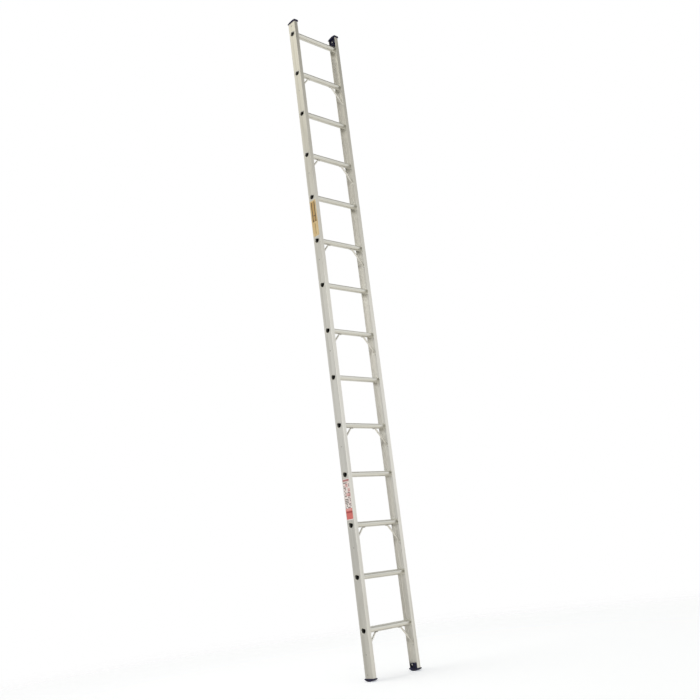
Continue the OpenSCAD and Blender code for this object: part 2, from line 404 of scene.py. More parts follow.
def aluminium(name, bright, dull, axis, roughness, wear_edges=False):
    """Mill-finish aluminium: die lines along the axis, cloudy oxide, fine scratches and scuffs."""
    g = Graph(name)
    die_lines = g.noise(along(axis, 1400, 1.2), detail=2)
    bands = g.noise(along(axis, 160, 0.8), detail=3, offset=(0.3, 0.7, 0.1))
    streaks = g.noise(along(axis, 48, 0.7), detail=3, roughness=0.6, offset=(0.9, 0.4, 0.6))
    cloud = g.noise(along(axis, 14, 2.2), detail=4, distortion=0.6, offset=(1.7, 0.2, 0.9))
    grain = g.noise((900, 900, 900), detail=2)
    scratch_a = g.noise((260, 2600, 26), detail=1, turn=(0.5, 0.3, 0.9))
    scratch_b = g.noise((2400, 200, 30), detail=1, turn=(-0.7, 0.6, 0.2))
    scratches = g.math("MAXIMUM", g.ramp(scratch_a, 0.70, 0.76), g.ramp(scratch_b, 0.71, 0.77))
    share = g.math("MULTIPLY_ADD", bands, 0.25, g.math("MULTIPLY", cloud, 0.35))
    share = g.ramp(g.math("MULTIPLY_ADD", streaks, 0.40, share), 0.40, 0.60)
    colour = g.mix(share, dull, bright)
    specks = g.ramp(g.noise((420, 420, 420), detail=3, offset=(0.4, 0.4, 0.4)), 0.66, 0.74)
    colour = g.mix(g.math("MULTIPLY", specks, 0.35), colour, tuple(0.62 * c for c in dull))
    colour = g.mix(g.math("MULTIPLY", scratches, 0.4), colour, tuple(min(1.0, 1.1 * c) for c in bright))
    rough = g.math("MULTIPLY_ADD", cloud, 0.16, roughness - 0.08)
    rough = g.math("MULTIPLY_ADD", bands, 0.10, g.math("SUBTRACT", rough, 0.05))
    rough = g.math("MULTIPLY_ADD", scratches, 0.12, rough)
    if wear_edges:
        y = g.axes()[1]
        near_corner = g.ramp(g.math("ABSOLUTE", y), HALF_D - 3 * MM, HALF_D - 0.5 * MM)
        broken = g.ramp(g.noise((90, 90, 10), detail=4, offset=(2, 1, 0)), 0.40, 0.65)
        worn = g.math("MULTIPLY", near_corner, broken)
        colour = g.mix(g.math("MULTIPLY", worn, 0.3), colour, bright)
        rough = g.math("MULTIPLY_ADD", worn, -0.03, rough)
    height = g.math("MULTIPLY_ADD", die_lines, 0.5, g.math("MULTIPLY", bands, 0.6))
    height = g.math("MULTIPLY_ADD", grain, 0.15, height)
    height = g.math("MULTIPLY_ADD", scratches, -0.35, height)
    g.set(Base_Color=colour, Metallic=1.0, Roughness=rough, Normal=g.bump(height, 0.05 * MM))
    return g.material


# Length at the mouth of a rung's bore that is left free of the painted shade deeper in
MOUTH_DEPTH = 13.0 * MM


def painted_shade_bore():
    """Inside of a rung's tube: lighter metal at its mouth, and painted shade, a mottled near-black,
    further in.
    """
    g = Graph("rung_bore")
    bore_mottle = g.noise((70, 160, 160), detail=4)
    lines = g.noise((2, 900, 900), detail=2)
    # painted shade: mottled near-black colour for the depth of the tube
    colour = g.mix(g.ramp(bore_mottle, 0.3, 0.7), (0.030, 0.030, 0.028), (0.075, 0.073, 0.068))
    from_middle = g.math("MULTIPLY_ADD", bore_mottle, 4 * MM, g.math("ABSOLUTE", g.axes()[0]))
    # the painted shade gives way to lighter metal over the length of the mouth
    unshaded_mouth = g.ramp(from_middle, HALF_W - MOUTH_DEPTH, HALF_W)
    colour = g.mix(unshaded_mouth, colour, (0.50, 0.49, 0.47))
    metal = g.math("MULTIPLY_ADD", unshaded_mouth, 0.7, 0.3)
    g.set(Base_Color=colour, Metallic=metal, Roughness=g.math("MULTIPLY_ADD", bore_mottle, 0.2, 0.5))
    g.set(Normal=g.bump(lines, 0.04 * MM))
    return g.material


def rivet_metal():
    """Bright satin rivets with a darker, oily bloom."""
    g = Graph("rivet_metal")
    bloom = g.noise((240, 240, 240), detail=4)
    fine = g.noise((1600, 1600, 1600), detail=2)
    colour = g.mix(g.ramp(bloom, 0.35, 0.65), (0.52, 0.52, 0.51), (0.74, 0.74, 0.72))
    rough = g.math("MULTIPLY_ADD", bloom, 0.2, 0.22)
    g.set(Base_Color=colour, Metallic=1.0, Roughness=rough, Normal=g.bump(fine, 0.02 * MM))
    return g.material


def navy_plastic():
    """Moulded navy plastic with a fine spark-eroded grain, scuffed paler here and there."""
    g = Graph("navy_plastic")
    grain = g.noise((1500, 1500, 1500), detail=3)
    flow = g.noise((60, 60, 30), detail=3, distortion=0.8)
    scuff = g.ramp(g.noise((120, 40, 160), detail=5, roughness=0.65, offset=(0.2, 3, 1)), 0.56, 0.74)
    colour = g.mix(g.ramp(flow, 0.35, 0.65), (0.005, 0.005, 0.020), (0.013, 0.012, 0.062))
    colour = g.mix(g.math("MULTIPLY", scuff, 0.20), colour, (0.08, 0.085, 0.12))
    rough = g.math("MULTIPLY_ADD", scuff, 0.18, g.math("MULTIPLY_ADD", grain, 0.12, 0.40))
    g.set(Base_Color=colour, Roughness=rough, Specular_IOR_Level=0.32, Normal=g.bump(grain, 0.06 * MM))
    return g.material


def vinyl(g, colour):
    """Finishes a sticker: glossy film over the printed colour, faint ripples, rubbed in places."""
    rub = g.ramp(g.noise((60, 260, 40), detail=5, roughness=0.7), 0.56, 0.74)
    ripple = g.noise((0, 45, 16), detail=2)
    grain = g.noise((2200, 2200, 2200), detail=1)
    worn = g.mix(g.math("MULTIPLY", rub, 0.14), colour, (0.80, 0.79, 0.76))
    rough = g.math("MULTIPLY_ADD", rub, 0.25, 0.30)
    height = g.math("MULTIPLY_ADD", grain, 0.03, ripple)
    g.set(Base_Color=worn, Roughness=rough, Coat_Weight=0.25, Coat_Roughness=0.2)
    g.set(Normal=g.bump(height, 0.15 * MM))
    return g.material


class Print:
    """Plain printed shapes on a sticker, placed from the middle of its CAD node's box."""

    def __init__(self, name, pale, deep):
        self.g = Graph(name)
        low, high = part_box(name)
        middle = (low + high) / 2
        self.half_w = (high.y - low.y) / 2
        self.half_l = (high.z - low.z) / 2
        _, y, z = self.g.axes()
        # across runs from -1 to 1 over the width, and up from -1 to 1 over the length
        self.across = self.g.math("DIVIDE", self.g.math("SUBTRACT", y, middle.y), self.half_w)
        self.up = self.g.math("DIVIDE", self.g.math("SUBTRACT", z, middle.z), self.half_l)
        fade = self.g.noise((50, 50, 9), detail=3)
        self.colour = self.g.mix(self.g.ramp(fade, 0.3, 0.7), deep, pale)

    def window(self, across, half_across, up, half_up):
        """1 inside a rectangle given as shares of the sticker's half width and half length."""
        g = self.g
        return g.math("MULTIPLY", g.math("COMPARE", self.across, across, half_across),
                      g.math("COMPARE", self.up, up, half_up))

    def bar(self, colour, across, half_across, up, half_up, strength=1.0):
        """Adds one bar."""
        inside = self.window(across, half_across, up, half_up)
        self.colour = self.g.mix(self.g.math("MULTIPLY", inside, strength), self.colour, colour)

    def blocks(self, colour, columns, rows, across, half_across, up, half_up, share, strength):
        """Adds small blocks on a grid inside a rectangle, in that share of the grid's cells."""
        g = self.g
        column = g.math("MULTIPLY", g.math("ADD", self.across, 1.0), columns / 2)
        row = g.math("MULTIPLY", g.math("ADD", self.up, 1.0), rows / 2)
        cell = g.nodes.new("ShaderNodeCombineXYZ")
        g.link(g.math("FLOOR", column), cell.inputs[0])
        g.link(g.math("FLOOR", row), cell.inputs[1])
        draw = g.nodes.new("ShaderNodeTexWhiteNoise")
        draw.noise_dimensions = "2D"
        g.links.new(cell.outputs[0], draw.inputs["Vector"])
        chosen = g.math("LESS_THAN", draw.outputs["Value"], share)
        in_row = g.math("COMPARE", g.math("FRACT", row), 0.5, 0.34)
        inside = g.math("MULTIPLY", g.math("MULTIPLY", chosen, in_row),
                        self.window(across, half_across, up, half_up))
        self.colour = g.mix(g.math("MULTIPLY", inside, strength), self.colour, colour)


def gold_print():
    """Gold sticker: two dark brown stripes beside small blocks, over one thin paler stripe."""
    label = Print("gold_label", (0.78, 0.62, 0.36), (0.70, 0.50, 0.24))
    label.bar((0.50, 0.30, 0.09), 0.0, 0.40, 0.36, 0.56, 0.8)
    for across in (-0.50, 0.50):
        label.bar((0.055, 0.025, 0.006), across, 0.14, 0.36, 0.56, 0.92)
    label.blocks((0.08, 0.04, 0.01), 5, 13, 0.0, 0.34, -0.02, 0.18, 0.5, 0.9)
    label.bar((0.30, 0.18, 0.04), -0.05, 0.12, -0.58, 0.30, 0.75)
    label.blocks((0.30, 0.18, 0.05), 5, 13, 0.0, 0.60, -0.58, 0.30, 0.22, 0.6)
    return vinyl(label.g, label.colour)


def red_and_white_print():
    """White sticker with a thin red band, scattered plain grey blocks and a red panel at its foot."""
    label = Print("red_and_white_label", (0.95, 0.90, 0.89), (0.86, 0.72, 0.71))
    label.blocks((0.08, 0.055, 0.05), 5, 25, 0.0, 0.86, 0.20, 0.66, 0.46, 0.8)
    label.blocks((0.66, 0.18, 0.17), 3, 9, 0.0, 0.98, 0.20, 0.66, 0.24, 0.5)
    label.bar((0.42, 0.10, 0.10), 0.0, 0.98, 0.925, 0.045, 0.85)
    label.bar((0.72, 0.17, 0.155), 0.0, 0.98, -0.70, 0.26)
    label.bar((0.34, 0.03, 0.03), 0.0, 0.98, -0.62, 0.035, 0.85)
    label.bar((0.84, 0.46, 0.44), 0.0, 0.80, -0.50, 0.045, 0.7)
    return vinyl(label.g, label.colour)


# ---- Metal pieces --------------------------------------------------------------

RIVET_CLEARANCE = 0.05 * MM


def brace_boxes(side):
    """CAD boxes of the braces on one side."""
    return [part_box(name) for name in BRACES if name.endswith(side)]


def stile(side, material):
    """Channel extrusion with a D hole for each rung and a small one for each rivet."""
    node = side + "_stile"
    body = prism_z(node, channel_outline(), STILE_BOTTOM, STILE_TOP)
    x0, x1 = WEB_IN - THROUGH, HALF_W + THROUGH
    holes = []
    for height in RUNG_HEIGHTS:
        outline = [(y, z + height) for y, z in d_outline(RIVET_CLEARANCE)]
        holes.append(prism_x("hole", outline, x0, x1))
    rivet_spots = [(0.0, low.z + BRACE_W / 2) for low, _ in brace_boxes(side)]
    rivet_spots += [end_rivet_spot("foot"), end_rivet_spot("cap")]
    for y, z in rivet_spots:
        holes.append(prism_x("hole", circle(y, z, SHANK_R + RIVET_CLEARANCE), x0, x1))
    combined(body, "DIFFERENCE", joined("holes", holes))
    mirror_to(body, side)
    return finished(body, node, "stile_aluminium", material)


def mirror_to(obj, side):
    """Mirrors a mesh made for the +X side when the piece is on the left."""
    if side == "left":
        obj.data.transform(Matrix.Scale(-1, 4, (1, 0, 0)))
        obj.data.flip_normals()
    return obj


GROOVE_DEPTH = 0.7 * MM
GROOVE_RUN_OUT = 3.0 * MM
BEAD_RISE = 2.2 * MM
FLARE_THROAT = 3.2 * MM
BORE_SHOWN = 12.0 * MM
ROLL_STEPS = 6


def rung_stations():
    """(x, grow, groove) along the outside of the rung's +X half, then round the flare into the bore."""
    bead_start = WEB_IN - BEAD_T
    groove_end = bead_start - 2.0 * MM
    stations = [(groove_end - GROOVE_RUN_OUT, 0.0, GROOVE_DEPTH), (groove_end, 0.0, GROOVE_DEPTH / 2)]
    for i in range(ROLL_STEPS + 1):
        angle = math.pi / 2 * i / ROLL_STEPS
        x = bead_start - 1.0 * MM + BEAD_RISE * math.sin(angle)
        stations.append((x, BEAD_OUT * (1 - math.cos(angle)), 0.0))
    stations += [(WEB_IN - 0.5 * MM, BEAD_OUT, 0.0), (WEB_IN - 0.1 * MM, BEAD_OUT - 0.5 * MM, 0.0)]
    stations += [(WEB_IN - 0.05 * MM, 0.0, 0.0), (HALF_W + 0.02 * MM, 0.0, 0.0)]
    stations.append((HALF_W + 0.03 * MM, FLARE_OUT - 0.4 * MM, 0.0))
    rim_r = FLARE_T / 2
    for i in range(ROLL_STEPS + 1):
        angle = -math.pi / 2 + math.pi * i / ROLL_STEPS
        x = HALF_W + rim_r + rim_r * math.sin(angle)
        stations.append((x, FLARE_OUT - rim_r + rim_r * math.cos(angle), 0.0))
    mouth = FLARE_OUT - rim_r - 1.2 * MM
    for i in range(1, ROLL_STEPS + 1):
        angle = math.pi / 2 * i / ROLL_STEPS
        x = HALF_W + FLARE_T - FLARE_THROAT * (1 - math.cos(angle))
        stations.append((x, mouth - (mouth + RUNG_WALL) * math.sin(angle), 0.0))
    stations.append((WEB_IN - BORE_SHOWN, -RUNG_WALL, 0.0))
    return stations


def rung(node, material, bore_material):
    """Hollow D tube, grooved on its tread, beaded inside each web and flared over its outside."""
    height = rung_height(node)
    half = rung_stations()
    stations = [(-x, grow, groove) for x, grow, groove in reversed(half)] + half
    rings = []
    for x, grow, groove in stations:
        rings.append([(x, y, z + height) for y, z in d_outline(grow, groove)])
    obj = loft(node, rings, loop=True)
    count = len(rings[0])
    # faces deep in the bore take the second material, which paints the shade inside the tube
    for face in obj.data.polygons:
        start = face.index // count
        grows = stations[start][1], stations[(start + 1) % len(stations)][1]
        face.material_index = int(max(grows) < -RUNG_WALL / 2)
    return finished(obj, node, "rung_aluminium", material, bore_material, angle=30)


UPPER_BEND_R = 7.0 * MM
LOWER_BEND_R = 11.2 * MM
# A brace's slope starts this far in from the web, and ends this far below the rung's centre
BRACE_REACH = 90.0 * MM
BRACE_DROP = 124.0 * MM
# Length over which a flattened end grows into the round tube
BRACE_TAPER = 18.0 * MM
BRACE_END_STEPS = 12
BRACE_STEPS = 84
# Corner radius of a tube's outline, as a share of the most that fits
TUBE_ROUNDNESS = 0.98


def brace_bends(rung_z):
    """(x, z) of a brace's two bends, in the middle of its thickness, for the +X side."""
    mid = BRACE_T / 2
    upper = Vector((WEB_IN - BRACE_REACH, rung_z - RUNG_R - mid))
    lower = Vector((WEB_IN - mid, rung_z - BRACE_DROP))
    return upper, lower


def brace_path(inner_x, low_z, rung_z):
    """Middle line of a brace in (x, z), with smooth bends, for the +X side."""
    upper, lower = brace_bends(rung_z)
    corners = [(inner_x, upper.y, 0), (*upper, UPPER_BEND_R), (*lower, LOWER_BEND_R), (lower.x, low_z, 0)]
    return rounded(corners, steps=10, closed=False)


def point_at(path, distance):
    """Point and direction at a distance along a path."""
    for a, b in zip(path, path[1:]):
        a, b = Vector(a), Vector(b)
        step = (b - a).length
        if step > 0 and distance <= step:
            return a + (b - a) * (distance / step), (b - a).normalized()
        distance -= step
    a, b = Vector(path[-2]), Vector(path[-1])
    return b, (b - a).normalized()


def tube_section(half_w, half_t):
    """Outline of a tube as (across, through) points: round where the two are equal, or flattened."""
    radius = TUBE_ROUNDNESS * min(half_w, half_t)
    return rounded(box_corners(-half_w, -half_t, half_w, half_t, radius), steps=7)


def brace(node, side, material):
    """Round tube whose flattened ends are bent flat under the rung and flat on the web."""
    low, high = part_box(node)
    inner_x = min(abs(low.x), abs(high.x))
    rung_z = high.z + RUNG_R
    path = brace_path(inner_x, low.z, rung_z)
    length = sum((Vector(b) - Vector(a)).length for a, b in zip(path, path[1:]))
    upper, lower = brace_bends(rung_z)
    upper_at, lower_at = upper.x - inner_x, length - (lower.y - low.z)
    end_r = BRACE_W / 2
    ends = [end_r * (1 - math.cos(math.pi / 2 * i / BRACE_END_STEPS)) for i in range(BRACE_END_STEPS)]
    ends[0] = 0.02 * MM
    middle = [end_r + (length - 2 * end_r) * i / BRACE_STEPS for i in range(BRACE_STEPS + 1)]
    rings = []
    for s in ends + middle + [length - e for e in reversed(ends)]:
        centre, ahead = point_at(path, s)
        inset = max(0.0, end_r - min(s, length - s))
        from_bend = min(s - upper_at, lower_at - s)
        roundness = min(1.0, max(0.0, from_bend / BRACE_TAPER))
        flat_half_w = math.sqrt(max(end_r ** 2 - inset ** 2, 0))
        half_w = flat_half_w + (BRACE_D / 2 - flat_half_w) * roundness
        half_t = BRACE_T / 2 + (BRACE_D - BRACE_T) / 2 * roundness
        normal = Vector((-ahead.y, ahead.x))
        ring = []
        for across, through in tube_section(half_w, half_t):
            spot = centre + normal * through
            ring.append((spot.x, across, spot.y))
        rings.append(ring)
    obj = mirror_to(loft(node, rings), side)
    return finished(obj, node, "brace_aluminium", material, angle=40)


AXIS_R = 0.05 * MM
POCKET_R = 1.3 * MM
POCKET_DEPTH = 0.9 * MM
HEAD_RIM = 0.35 * MM


def head_profile():
    """Rivet head from its flat underside up: a short rim, a dome and the mandrel's pocket."""
    points = [(SHANK_R, 0.0), (HEAD_R - 0.1 * MM, 0.0), (HEAD_R, 0.1 * MM), (HEAD_R, HEAD_RIM)]
    for i in range(1, 7):
        angle = math.pi / 2 * i / 7
        points.append((POCKET_R + (HEAD_R - POCKET_R) * math.cos(angle),
                       HEAD_RIM + (HEAD_H - HEAD_RIM) * math.sin(angle)))
    floor = HEAD_H - POCKET_DEPTH
    points += [(POCKET_R + 0.15 * MM, HEAD_H), (POCKET_R, HEAD_H - 0.15 * MM), (0.95 * POCKET_R, floor)]
    return points + [(0.5 * POCKET_R, floor + 0.1 * MM), (AXIS_R, floor + 0.15 * MM)]


def shank_profile(length):
    """Plain shank of a rivet."""
    return [(AXIS_R, 0.0), (SHANK_R, 0.0), (SHANK_R, length), (AXIS_R, length)]


def tail_profile(grip):
    """Shank and formed tail from a rivet's head through its grip, ending in the mandrel's head."""
    points = [(AXIS_R, 0.0), (SHANK_R - 0.1 * MM, 0.0), (SHANK_R - 0.1 * MM, grip)]
    for i in range(7):
        angle = math.pi * i / 6
        points.append((SHANK_R + (TAIL_R - SHANK_R) * math.sin(angle), grip + 0.75 * TAIL_H * i / 6))
    points += [(2.0 * MM, grip + 0.78 * TAIL_H), (1.9 * MM, grip + 0.95 * TAIL_H)]
    return points + [(1.2 * MM, grip + TAIL_H), (AXIS_R, grip + TAIL_H)]


def blind_rivet(place, outwards, grip):
    """Parts of a rivet with its head's underside at place and its tail formed beyond the grip."""
    head = lathe("head", head_profile(), place, outwards)
    tail = lathe("tail", tail_profile(grip), place, -outwards)
    return [head, tail]


RUNG_GRIP = BRACE_T + RUNG_WALL + 0.4 * MM


def brace_to_rung_rivets(material):
    """Up through each brace's upper foot into the rung."""
    parts = []
    for name in BRACES:
        low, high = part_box(name)
        inner = low.x if name.endswith("right") else high.x
        x = inner + math.copysign(BRACE_W / 2, inner)
        parts += blind_rivet(Vector((x, 0, high.z - BRACE_T)), Vector((0, 0, -1)), RUNG_GRIP)
    obj = joined("rivets", parts)
    return finished(obj, "brace_to_rung_rivets", "rivet_metal", material)


def brace_to_stile_rivets(material):
    """Through each brace's lower foot and the web, headed on the outside."""
    parts = []
    for side, sign in SIDES.items():
        for low, _ in brace_boxes(side):
            place = Vector((sign * HALF_W, 0, low.z + BRACE_W / 2))
            parts += blind_rivet(place, Vector((sign, 0, 0)), WEB_T + BRACE_T)
    obj = joined("rivets", parts)
    return finished(obj, "brace_to_stile_rivets", "rivet_metal", material)


# ---- Plastic pieces ------------------------------------------------------------

PAD_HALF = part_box("right_foot")[1].y
PAD_EDGE_R = 1.4 * MM
# Strip beside the web over which a cap's crown falls, and the share of its height that it loses
PAD_FALL_W = 11.0 * MM
PAD_FALL_STATIONS = (0.0, 0.18, 0.34, 0.48, 0.60, 0.70)
CAP_FALL = 0.45
PLUG_W = 48.0 * MM
PLUG_CORNER_R = 6.0 * MM
FOOT_PLUG_L = 28.0 * MM
CAP_PLUG_L = 27.0 * MM
PLUG_FACE_X = FLANGE_EDGE + 1.5 * MM
PLUG_INNER_X = WEB_IN - 0.2 * MM
PLUG_RIM = 2.5 * MM
PLUG_HOLLOW = 5.0 * MM
PLUG_EDGE_R = 0.4 * MM
BOSS_R = 7.0 * MM
RIB_T = 2.0 * MM
RIB_SUNK = 1.5 * MM
FOOT_RIVET_Y = 10.0 * MM
FOOT_RIVET_RISE = 20.5 * MM
FOOT_EDGE = 5.0 * MM
CAP_EDGE = 3.0 * MM
CAP_CROWN_Y = -10.0 * MM
SOLE_GROOVES = 8
SOLE_GROOVE_PITCH = 8.0 * MM
SOLE_GROOVE_W = 2.4 * MM
SOLE_GROOVE_DEPTH = 1.6 * MM


def end_rivet_spot(kind):
    """(y, z) of the rivet that holds a foot or a cap."""
    if kind == "foot":
        return FOOT_RIVET_Y, STILE_BOTTOM + FOOT_RIVET_RISE
    return 0.0, STILE_TOP - CAP_PLUG_L


def foot_plug_outline(inset=0.0):
    """Outline of a foot's plug in (y, z), smaller by inset: two round upper corners."""
    half, top = PLUG_W / 2 - inset, STILE_BOTTOM + FOOT_PLUG_L - inset
    base = STILE_BOTTOM - THROUGH + 2 * inset
    radius = max(PLUG_CORNER_R - inset, 1 * MM)
    return rounded([(-half, base, 0), (half, base, 0), (half, top, radius), (-half, top, radius)], steps=8)


def cap_plug_outline(inset=0.0):
    """Outline of a cap's plug in (y, z), smaller by inset: straight sides and a round lower end."""
    half, top = PLUG_W / 2 - inset, STILE_TOP + THROUGH - 2 * inset
    middle = STILE_TOP - CAP_PLUG_L
    points = [(half, top), (-half, top)]
    steps = 28
    for i in range(steps + 1):
        angle = math.pi + math.pi * i / steps
        points.append((half * math.cos(angle), middle + half * math.sin(angle)))
    return points


def plug(outline, spot):
    """Moulded plug: a rim round a hollow face, crossed by a rib with a boss on it for the rivet."""
    y, z = spot
    floor_x = PLUG_FACE_X + PLUG_HOLLOW
    body = prism_x("plug", outline(), PLUG_FACE_X, PLUG_INNER_X)
    hollow = prism_x("hollow", outline(PLUG_RIM), PLUG_FACE_X - THROUGH, floor_x)
    half_rib = PLUG_W / 2 - PLUG_RIM / 2
    rib = [(-half_rib, z - RIB_T / 2), (half_rib, z - RIB_T / 2)]
    rib += [(half_rib, z + RIB_T / 2), (-half_rib, z + RIB_T / 2)]
    combined(hollow, "DIFFERENCE", prism_x("rib", rib, PLUG_FACE_X + RIB_SUNK, floor_x + THROUGH))
    boss = prism_x("boss", circle(y, z, BOSS_R, 64), PLUG_FACE_X - 2 * THROUGH, floor_x + THROUGH)
    combined(hollow, "DIFFERENCE", boss)
    combined(body, "DIFFERENCE", hollow)
    return softened(body, PLUG_EDGE_R, segments=2, angle=40)


def arc_of(edge_z, tip_z, crown_y):
    """Radius and centre height of the pad's arc: its tip over crown_y, its back edge at edge_z."""
    reach, rise = PAD_HALF - crown_y, abs(tip_z - edge_z)
    radius = (reach * reach + rise * rise) / (2 * rise)
    return radius, tip_z - math.copysign(radius, tip_z - edge_z)


def pad_outline(flat_z, edge_z, tip_z, crown_y):
    """(y, z) outline of a pad: flat on the stile's end, square edges, then an arc over its tip."""
    radius, centre_z = arc_of(edge_z, tip_z, crown_y)
    back = math.asin((PAD_HALF - crown_y) / radius)
    front = math.asin((-PAD_HALF - crown_y) / radius)
    steps = 48
    points = [(PAD_HALF, flat_z)]
    for i in range(steps + 1):
        angle = back + (front - back) * i / steps
        points.append((crown_y + radius * math.sin(angle),
                       centre_z + math.copysign(radius * math.cos(angle), tip_z - edge_z)))
    return points + [(-PAD_HALF, flat_z)]


def pad(node, flat_z, edge_z, tip_z, crown_y=0.0, fall=0.0):
    """Curved pad over a stile's end, with rounded edges.

    Beside the web it falls until it has lost that share of its height.
    """
    low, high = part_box(node)
    x0, x1 = sorted((abs(low.x), abs(high.x)))
    start = x1 - PAD_FALL_W
    outline = pad_outline(flat_z, edge_z, tip_z, crown_y)
    stations = [x0] + [start + PAD_FALL_W * share for share in PAD_FALL_STATIONS] + [x1]
    body = loft("pad", [[(x, y, z) for y, z in outline] for x in stations])
    softened(body, PAD_EDGE_R, segments=5, angle=40)
    for vertex in body.data.vertices:
        share = min(1.0, max(0.0, (vertex.co.x - start) / PAD_FALL_W))
        height = 1 - fall * (1 - math.sqrt(1 - share * share))
        vertex.co.z = flat_z + (vertex.co.z - flat_z) * height
    return body


def sole_grooves(edge_z, tip_z):
    """Slots across a foot's sole, square to its arc."""
    radius, centre_z = arc_of(edge_z, tip_z, 0.0)
    half_w, depth = SOLE_GROOVE_W / 2, SOLE_GROOVE_DEPTH
    slots = []
    for i in range(SOLE_GROOVES):
        lean = (i + 0.5 - SOLE_GROOVES / 2) * SOLE_GROOVE_PITCH / radius
        c, s = math.cos(lean), math.sin(lean)
        corners = [(-half_w, -radius - depth), (half_w, -radius - depth)]
        corners += [(0.6 * half_w, -radius + depth), (-0.6 * half_w, -radius + depth)]
        outline = [(u * c - v * s, centre_z + u * s + v * c) for u, v in corners]
        slots.append(prism_x("slot", outline, FLANGE_EDGE - 10 * MM, HALF_W + 10 * MM))
    return joined("slots", slots)


def foot(side, material):
    """Navy foot: ribbed curved sole under the stile and a plug inside the channel."""
    node = side + "_foot"
    tip_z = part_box(node)[0].z
    edge_z = STILE_BOTTOM - FOOT_EDGE
    sole = combined(pad(node, STILE_BOTTOM, edge_z, tip_z), "DIFFERENCE", sole_grooves(edge_z, tip_z))
    inside = plug(foot_plug_outline, end_rivet_spot("foot"))
    obj = mirror_to(combined(sole, "UNION", inside), side)
    return finished(obj, node, "navy_plastic", material, angle=30)


def top_cap(side, material):
    """Navy cap: domed crown over the stile and a round-ended plug inside the channel."""
    node = side + "_top_cap"
    tip_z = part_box(node)[1].z
    crown = pad(node, STILE_TOP, STILE_TOP + CAP_EDGE, tip_z, CAP_CROWN_Y, CAP_FALL)
    inside = plug(cap_plug_outline, end_rivet_spot("cap"))
    obj = mirror_to(combined(crown, "UNION", inside), side)
    return finished(obj, node, "navy_plastic", material, angle=30)


def end_rivets(kind, material):
    """Rivets across the plugs: a head on each plug's boss and another outside the web."""
    y, z = end_rivet_spot(kind)
    parts = []
    for sign in SIDES.values():
        seat = Vector((sign * PLUG_FACE_X, y, z))
        outside = Vector((sign * HALF_W, y, z))
        length = (outside - seat).length
        parts.append(lathe("inner head", head_profile(), seat, Vector((-sign, 0, 0))))
        parts.append(lathe("outer head", head_profile(), outside, Vector((sign, 0, 0))))
        parts.append(lathe("shank", shank_profile(length), seat, Vector((sign, 0, 0))))
    return finished(joined("rivets", parts), kind + "_rivets", "rivet_metal", material)


STICKER_CORNER_R = 3.0 * MM
STICKER_EDGE_R = 0.1 * MM


def sticker(node, slot, material):
    """Thin sticker with rounded corners on the left stile's outer face."""
    low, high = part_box(node)
    corners = box_corners(low.y, low.z, high.y, high.z, STICKER_CORNER_R)
    obj = prism_x(node, rounded(corners, steps=8), low.x, high.x)
    softened(obj, STICKER_EDGE_R, segments=2, angle=60)
    return finished(obj, node, slot, material)


# ---- Stage, light and camera ---------------------------------------------------

FLOOR_RADIUS = 6.0
FLOOR_FADE = (1.2, 5.5)
FLOOR_GLOW = 0.34


def pale_floor():
    """Round pale floor that fades out into the white background."""
    steps = 96
    ring = [(x, y, 0.0) for x, y in circle(0.0, 0.0, FLOOR_RADIUS, steps)]
    floor = new_object("pale_floor", ring, [tuple(range(steps))])
    g = Graph("pale_floor")
    g.set(Base_Color=(0.93, 0.93, 0.93, 1), Roughness=0.9)
    g.set(Emission_Color=(0.80, 0.86, 1.0, 1), Emission_Strength=FLOOR_GLOW)
    x, y, _ = g.axes()
    reach = g.math("SQRT", g.math("ADD", g.math("POWER", x, 2.0), g.math("POWER", y, 2.0)))
    clear = g.nodes.new("ShaderNodeBsdfTransparent")
    blend = g.nodes.new("ShaderNodeMixShader")
    g.link(g.ramp(reach, *FLOOR_FADE), blend.inputs[0])
    g.links.new(g.shader.outputs[0], blend.inputs[1])
    g.links.new(clear.outputs[0], blend.inputs[2])
    g.links.new(blend.outputs[0], g.nodes["Material Output"].inputs["Surface"])
    floor.data.materials.append(g.material)
    floor.visible_glossy = False


# The room's brightness by the height of a direction, from -1, straight down, to 1, straight up
ROOM_BEHIND_LEFT = [
    (-1.0, 0.75), (-0.5, 0.76), (-0.14, 0.52), (-0.03, 0.40), (0.07, 0.62), (0.24, 0.78),
    (0.45, 0.45), (0.57, 1.25), (0.74, 0.90), (0.92, 0.20),
]
ROOM_FRONT_RIGHT = [
    (-1.0, 0.60), (-0.80, 0.64), (-0.62, 0.82), (-0.35, 0.80), (-0.13, 0.56), (0.02, 0.90),
    (0.32, 0.80), (0.42, 0.62), (0.58, 0.16), (1.0, 0.40),
]
ROOM_BY_CAMERA = [
    (-1.0, 0.95), (-0.45, 1.0), (-0.14, 0.20), (-0.04, 0.45), (0.05, 1.3), (0.34, 1.3),
    (0.44, 0.7), (0.56, 0.12), (1.0, 0.10),
]
ROOM_BEHIND = [(-1.0, 0.65), (-0.4, 0.68), (0.1, 0.55), (0.46, 0.52), (0.60, 0.10), (1.0, 0.12)]
# Its tint at those heights: warm near the floor and the ceiling, neutral at eye level
ROOM_TINT = [
    (-1.0, (1.0, 0.965, 0.86)),
    (-0.12, (1.0, 0.97, 0.86)),
    (0.02, (1.0, 1.0, 0.97)),
    (0.25, (1.0, 1.0, 0.97)),
    (0.42, (1.0, 0.97, 0.86)),
    (0.60, (1.0, 0.955, 0.78)),
]
# Where each side of the room lies: towards (x, y), and how closely a direction must point that way
# for the side to begin and to be full
FRONT_RIGHT_WAY = (0.7, -0.7, -0.6, 0.6)
BY_CAMERA_WAY = (-0.7, -0.7, 0.3, 0.8)
BEHIND_WAY = (0.35, 0.94, 0.46, 0.66)


